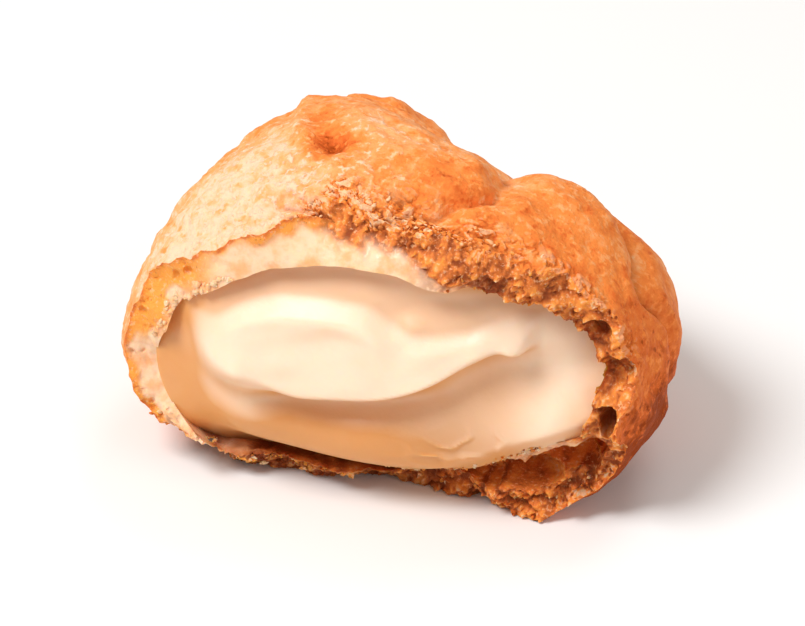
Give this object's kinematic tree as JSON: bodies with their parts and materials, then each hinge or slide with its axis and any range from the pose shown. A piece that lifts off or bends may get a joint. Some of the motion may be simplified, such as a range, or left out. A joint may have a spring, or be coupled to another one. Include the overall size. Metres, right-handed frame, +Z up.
{
  "type": "cream puff",
  "caption": "Round choux puff torn open at the front: a hollow, cracked baked shell on a flat base, filled with thick pale custard cream.",
  "frame": {"origin": "on the table, under the middle of the whole puff as it was before it was torn", "axes": "+Z up; the torn open side looks along -Y; +X to the right of somebody who looks into the tear"},
  "size_m": [0.0593, 0.0468, 0.0377],
  "materials": {
    "crust": "golden-brown baked choux crust",
    "cream": "smooth moist custard cream"
  },
  "bodies": {
    "root": {"choux_shell": "crust", "cream_filling": "cream"}
  },
  "joints": []
}
